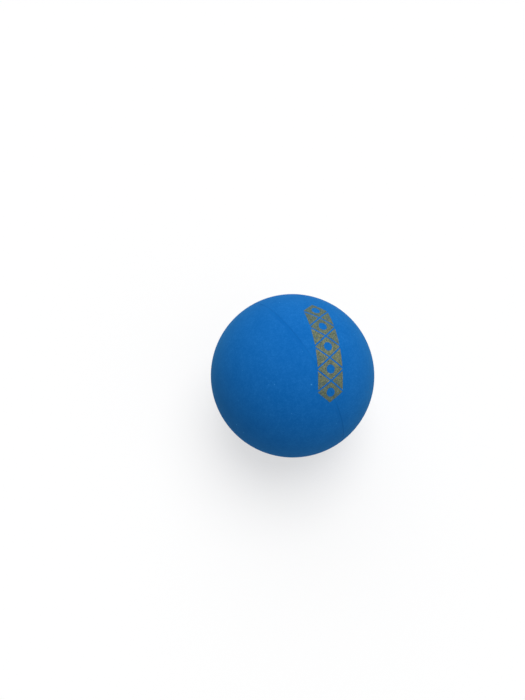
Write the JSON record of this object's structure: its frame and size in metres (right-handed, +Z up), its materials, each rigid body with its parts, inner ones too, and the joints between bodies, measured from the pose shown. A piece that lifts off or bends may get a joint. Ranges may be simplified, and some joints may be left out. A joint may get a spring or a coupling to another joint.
{
  "type": "racquetball",
  "caption": "Hollow rubber racquetball made of two moulded half shells bonded along a buffed seam, with a sealed gas-filled cavity and a matte skin.",
  "frame": {"origin": "centre of the ball", "axes": "+X runs along the common axis of the two half shells, square to the seam, towards the right half shell; the seam lies in the YZ plane; +Z is up as the ball lies"},
  "size_m": [0.0572, 0.0572, 0.0572],
  "materials": {
    "blue_rubber": "matte",
    "rubber_cement": "matte",
    "printing_ink": "matte"
  },
  "bodies": {
    "root": {"left_half_shell": "blue_rubber", "right_half_shell": "blue_rubber", "seam_cement": "rubber_cement"}
  },
  "joints": []
}
